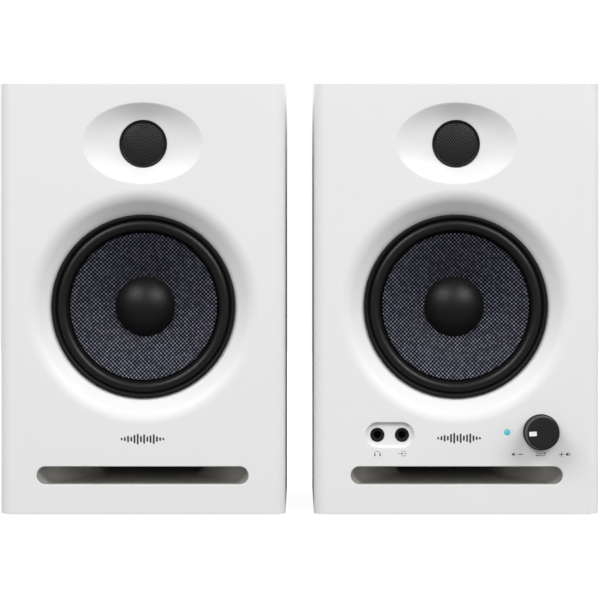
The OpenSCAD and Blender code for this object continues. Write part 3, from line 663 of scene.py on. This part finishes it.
def front_marks():
    # quieter and louder, each side of the knob
    z, bold = CONTROL_MARKS_Z, 0.34
    quiet_x, minus_x, source_x, plus_x, loud_x = 29.35, 32.65, 43.1, 53.55, 56.85
    shapes = speaker_sign(quiet_x, z, 1) + speaker_sign(loud_x, z, 2)
    shapes += [bar(minus_x, z, 2.3, bold), bar(plus_x, z, 2.5, bold), bar(plus_x, z, bold, 2.5)]
    print_marks("volume_signs", "right", shapes, PRINT_DARK)
    # source selection: two arrows, one each way
    x, shapes, straight, curved = source_x, [], 0.26, 0.24
    for k in (-1, 1):
        row, neck = z + 0.55 * k, x + k * 1.8
        shapes.append(bar(x, row, 4.4, straight))
        shapes.append([(x + k * 2.9, row), (neck, row + 0.5), (neck, row - 0.5)])
    # headphones, and an arrow that enters a socket
    x, z = JACK_X - JACK_PITCH / 2, SOCKET_MARKS_Z
    shapes.append(stroke(arc(x, z - 0.3, 1.45, 0, 180, 16), curved))
    shapes += [bar(x + k * 1.35, z - 0.7, 0.7, 1.3) for k in (-1, 1)]
    x = JACK_X + JACK_PITCH / 2
    shapes += [bar(x - 1.0, z, 2.0, straight), [(x + 0.7, z), (x - 0.2, z + 0.6), (x - 0.2, z - 0.6)],
               stroke(arc(x + 0.5, z, 1.3, -130, 130, 20), curved)]
    print_marks("source_signs", "right", shapes, PRINT_GREY)


# ---- rear ----

def tone_knob(name):
    """A dial with a fluted grip. Each profile point is a radius, a reach and a share of the flutes' depth."""
    c, flutes, depth = centre_in("right", f"{name}_knob"), 18, 0.45
    steps = 6 * flutes
    b, rings = Build(), []
    for r, reach, amount in ((0, -15, 0), (3.0, -15, 0), (3.0, 1.2, 0), (5.5, 1.2, 0), (5.6, 1.5, 0),
                             (5.6, 2.6, 0), (5.3, 3.0, 1), (5.25, 10.8, 1), (5.0, 11.5, 0.6), (4.5, 11.9, 0),
                             (0, 11.95, 0)):
        ring = []
        for i in range(steps if r else 1):
            a = TAU * i / steps
            cut_r = r - depth * amount * (0.5 - 0.5 * math.cos(flutes * a)) ** 2
            ring.append((c.x + cut_r * math.cos(a), DEPTH + reach, c.z + cut_r * math.sin(a)))
        rings.append(ring)
    b.loft(rings)
    place(f"{name}_dial_body", b, "right", f"{name}_dial", MATERIALS["knob_black"], smooth=40,
          replaces=[f"{name}_knob"])
    b = Build()
    b.prism(bar(c.x, c.z + 2.7, 0.8, 3.2), DEPTH + 11.7, DEPTH + 12.0)
    place(f"{name}_dial_pointer", b, "right", f"{name}_dial", MARK_WHITE)


def pan_screw(b, x, z, r=2.7, t=1.6):
    """A domed head with a cross-shaped recess, on the rear panel."""
    face, steps = DEPTH, 32
    arm, half, sunk, shank_r = 1.5, 0.32, 0.9, 1.4
    cross = []
    for k in range(4):
        a = math.pi / 2 * k
        for px, pz in ((half, -half), (arm, -half), (arm, half)):
            cross.append((x + px * math.cos(a) - pz * math.sin(a), z + px * math.sin(a) + pz * math.cos(a)))
    top = b.ring(at_depth(cross, face + t))
    deep = b.ring(at_depth([(x + (px - x) * 0.8, z + (pz - z) * 0.8) for px, pz in cross], face + t - sunk))
    b.bridge(top, deep)
    b.fill(deep)
    dome = b.loft([at_depth(circle(r * share, x, z, steps), face + t * rise)
                   for share, rise in ((0.72, 1), (0.9, 0.8), (1, 0.4), (1, 0))])
    b.fill(dome[0], top)
    shank = b.loft([at_depth(circle(r, x, z, steps), face), at_depth(circle(shank_r, x, z, steps), face),
                    at_depth(circle(shank_r, x, z, steps), face - 7)])
    b.fill(shank[-1])


def chaikin(points, rounds=3):
    """Cuts the corners of a closed outline, which stays inside the outline it starts from."""
    for _ in range(rounds):
        cut = []
        for (ax, az), (bx, bz) in zip(points, points[1:] + points[:1]):
            cut += [(ax * 0.75 + bx * 0.25, az * 0.75 + bz * 0.25),
                    (ax * 0.25 + bx * 0.75, az * 0.25 + bz * 0.75)]
        points = cut
    return points


def lever(name, side, x, slot):
    """A rounded spring lever with its pin."""
    pin_depth, pin_z = DEPTH + PIN_D, CLIP_Z + PIN_RISE
    outline = chaikin(LEVER_OUTLINE)
    mid = (sum(p[0] for p in outline) / len(outline), sum(p[1] for p in outline) / len(outline))
    b, rings = Build(), []
    edge = [(5.0, 0.5), (4.93, 0.25), (4.75, 0.07), (4.5, 0)]
    for reach, inset in [(-reach, inset) for reach, inset in edge] + edge[::-1]:
        ring = []
        for d, z in outline:
            away = math.hypot(d - mid[0], z - mid[1])
            k = (away - inset) / away
            ring.append((x + reach, pin_depth + mid[0] + (d - mid[0]) * k, pin_z + mid[1] + (z - mid[1]) * k))
        rings.append(ring)
    made = b.loft(rings)
    b.fill(made[0])
    b.fill(made[-1])
    for end in (-1, 1):
        rings = [[(x + end * reach, pin_depth + y, pin_z + z) for y, z in circle(PIN_R, steps=24)]
                 for reach in (4.6, PIN_END)]
        pin = b.loft(rings)
        b.fill(pin[0])
        b.fill(pin[-1])
    place(f"{name}_lever_body", b, side, f"{name}_lever", MATERIALS[slot], smooth=40,
          replaces=[f"{name}_clip"])


def rocker_marks():
    """A bar and a ring on the rocker's face, which is tilted at rest."""
    frame_mid, pivot_depth = centre_in("right", "power_switch_frame"), DEPTH - 1.5
    cos, sin = math.cos(ROCKER_TILT), math.sin(ROCKER_TILT)
    b = Build()
    for outline in (bar(0, -2.1, 0.42, 2.0), stroke(arc(0, 2.1, 0.95, 0, 359.9, 32), 0.36)):
        rings = []
        for lift in (0.03, -0.05):
            ring = []
            for x, z in outline:
                d = ROCKER_FACE + ROCKER_RISE * abs(z) + lift
                ring.append((frame_mid.x + x, pivot_depth + d * cos + z * sin,
                             frame_mid.z - d * sin + z * cos))
            rings.append(ring)
        made = b.loft(rings)
        b.fill(made[0])
        b.fill(made[1])
    place("rocker_signs", b, "right", "power_rocker", MARK_WHITE)


def screws():
    panel, b = centre_in("right", "amp_panel"), Build()
    for x in PANEL_SCREWS_X:
        for z in PANEL_SCREWS_Z:
            pan_screw(b, x, panel.z + z)
    place("panel_screw_heads", b, "right", "right_speaker", MATERIALS["screw_steel"],
          smooth=40, replaces=["amp_panel_screws"])
    b = Build()
    for x in PLATE_SCREWS_X:
        for z in PLATE_SCREWS_Z:
            pan_screw(b, x, CLIP_Z + z, 3.1, 2.0)
    place("left_plate_screw_heads", b, "left", "left_speaker", MATERIALS["screw_steel"],
          smooth=40)


def rear_marks():
    """Scales around the tone dials, and a ring around each phono socket."""
    shapes = []
    for name, waves in (("bass", 1), ("treble", 4)):
        c = centre_in("right", f"{name}_knob")
        for k in range(11):
            a = math.radians(90 - 150 + 30 * k)
            ends = (7.6, 9.6) if k in (0, 5, 10) else (7.9, 9.0)
            shapes.append(stroke([(c.x + r * math.cos(a), c.z + r * math.sin(a)) for r in ends], 0.35))
        # a slow wave for the low notes and a quick one for the high notes
        shapes.append(stroke([(c.x + 3.2 * (i / 24 - 1), c.z + 12.6 + 0.75 * math.sin(TAU * waves * i / 48))
                              for i in range(49)], 0.3))
    rca = centre_in("right", "rca_inputs")
    for k in (-1, 1):
        shapes.append(stroke(arc(rca.x + PHONO_OFFSET * k, rca.z, 6.0, 0, 359.9, 40), 0.3))
    print_marks("rear_scales", "right", shapes, PRINT_WHITE, DEPTH - 0.02, 0.05)


def phono_insulators():
    rca, back = centre_in("right", "rca_inputs"), DEPTH
    for side, k, material in (("left", -1, PLUG_WHITE), ("right", 1, MATERIALS["red_plastic"])):
        b, x = Build(), rca.x + PHONO_OFFSET * k
        b.revolve([(1.61, back - 0.5), (1.61, back + 8.4), (1.75, back + 8.6), (3.3, back + 8.6),
                   (3.49, back + 8.4), (3.49, back - 0.5)], x, rca.z, 48, closed=True)
        b.revolve([(4.2, back + 0.02), (5.2, back + 0.02), (5.4, back + 0.25), (5.2, back + 0.5),
                   (4.2, back + 0.5)], x, rca.z, 48, closed=True)
        place(f"phono_insulator_{side}", b, "right", "right_speaker", material, smooth=40)


def mains_pins():
    inlet, back, b = centre_in("right", "mains_inlet"), DEPTH, Build()
    for k in (-1, 1):
        b.revolve([(0, back - 13), (1.19, back - 13), (1.19, back - 2.6), (0.9, back - 2.0),
                   (0.4, back - 1.9), (0, back - 1.9)], inlet.x + PIN_OFFSET * k, inlet.z, 32)
    place("mains_pins", b, "right", "right_speaker", MATERIALS["motor_steel"])


# ---- build everything ----

WOVEN = {side: woven_material(side) for side in ("left", "right")}
SLOTS = {s["node"]: s["material_slot"] for s in frame["record"]["subparts"]}
for name, obj in frame["nodes"].items():
    obj.data.materials.clear()
    slot = SLOTS[name]
    obj.data.materials.append(WOVEN[name.split("_")[0]] if slot == "woven_cone" else MATERIALS[slot])
    obj.data.shade_smooth()
    obj.data.set_sharp_from_angle(angle=math.radians(30))
    if name.endswith("_cabinet"):
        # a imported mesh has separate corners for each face, so they are joined before the bevel
        obj.modifiers.new("joined_corners", "WELD").merge_threshold = 1e-6
        soft = obj.modifiers.new("soft_corners", "BEVEL")
        soft.width, soft.segments = 0.6 * MM, 3
        soft.limit_method, soft.angle_limit = "ANGLE", math.radians(50)
        soft.use_clamp_overlap = False
        flat = obj.modifiers.new("flat_faces", "WEIGHTED_NORMAL")
        flat.keep_sharp, flat.weight = False, 100

for side in ("left", "right"):
    baffle(side)
    port(side)
    grille(side)
    woofer(side)
for name, side in (("left", "left"), ("out", "right")):
    lever(f"{name}_red", side, -CLIP_PITCH / 2, "red_plastic")
    lever(f"{name}_black", side, CLIP_PITCH / 2, "knob_black")
rocker_marks()
knob()
jacks()
light()
level_bars("left", 0.0, 38.3)
level_bars("right", 1.2, 38.75)
front_marks()
screws()
tone_knob("bass")
tone_knob("treble")
rear_marks()
phono_insulators()
mains_pins()

# ---- stage, light and camera ----

FLOOR_HALF = 4                                   # metres
floor_mesh = bpy.data.meshes.new("floor")
floor_mesh.from_pydata([(x * FLOOR_HALF, y * FLOOR_HALF, 0) for x, y in ((-1, -1), (1, -1), (1, 1), (-1, 1))],
                       [], [(0, 1, 2, 3)])
floor = bpy.data.objects.new("floor", floor_mesh)
bpy.context.scene.collection.objects.link(floor)
paper, _, paper_shader = new_material("floor_paper", 0.9)
paper_shader.inputs["Base Color"].default_value = (0.5, 0.5, 0.5, 1)
paper_shader.inputs["Emission Color"].default_value = (1, 1, 1, 1)
paper_shader.inputs["Emission Strength"].default_value = 0.9
floor_mesh.materials.append(paper)
floor.visible_diffuse = False
floor.visible_glossy = False

world = bpy.data.worlds.new("studio")
world.use_nodes = True
bpy.context.scene.world = world
tree = world.node_tree
tree.nodes.clear()
seen = node(tree, "ShaderNodeLightPath").outputs["Is Camera Ray"]
dim = node(tree, "ShaderNodeBackground", {"Color": (1, 1, 1, 1), "Strength": 0.2})
bright = node(tree, "ShaderNodeBackground", {"Color": (1, 1, 1, 1), "Strength": 1.0})
mixed = node(tree, "ShaderNodeMixShader", {0: seen, 1: dim.outputs[0], 2: bright.outputs[0]})
node(tree, "ShaderNodeOutputWorld", {0: mixed.outputs[0]})


def softbox(name, place_at, aim, size, power, shine=True):
    """A rectangular light; shine=False keeps it out of reflections."""
    data = bpy.data.lights.new(name, "AREA")
    data.shape, data.size, data.size_y, data.energy = "RECTANGLE", size[0], size[1], power
    lamp = bpy.data.objects.new(name, data)
    lamp.location = place_at
    lamp.rotation_euler = (Vector(aim) - Vector(place_at)).to_track_quat("-Z", "Y").to_euler()
    lamp.visible_glossy = shine
    bpy.context.scene.collection.objects.link(lamp)


softbox("key_left", (-1.9, -2.4, 2.6), (0, 0, 0.1), (2.2, 1.6), 68)
softbox("key_right", (2.0, -2.4, 2.4), (0, 0, 0.1), (2.2, 1.6), 73)
softbox("front_fill", (0, -3.0, 0.3), (0, 0, 0.1), (1.6, 1.0), 20, shine=False)
softbox("side_left", (-3.0, -0.5, 1.0), (0, 0, 0.1), (1.4, 1.4), 22, shine=False)
softbox("side_right", (3.0, -0.5, 1.0), (0, 0, 0.1), (1.4, 1.4), 30, shine=False)
softbox("top", (0, 0.4, 2.4), (0, 0, 0), (2.0, 1.6), 9)
softbox("rear_left", (-2.0, 2.2, 1.5), (0, 0.05, 0.1), (1.4, 1.4), 45)
softbox("rear_right", (2.0, 2.2, 1.5), (0, 0.05, 0.1), (1.4, 1.4), 38)

CAMERA_DISTANCE, CAMERA_X, CAMERA_DROP = 1.25, 0.0002, 0.0006
SENSOR, FRAME_WIDTH = 36, 306.7                  # the picture's width is FRAME_WIDTH mm at the fronts
scene = bpy.context.scene
scene.view_settings.view_transform = "Standard"
scene.view_settings.look = "None"
camera_data = bpy.data.cameras.new("camera")
camera_data.sensor_width = SENSOR
camera_data.lens = SENSOR * CAMERA_DISTANCE / MM / FRAME_WIDTH
camera = bpy.data.objects.new("camera", camera_data)
camera.location = (CAMERA_X, ORIGIN["right"].y - CAMERA_DISTANCE,
                   ORIGIN["right"].z + HEIGHT / 2 * MM - CAMERA_DROP)
camera.rotation_euler = (math.pi / 2, 0, 0)
scene.collection.objects.link(camera)
scene.camera = camera
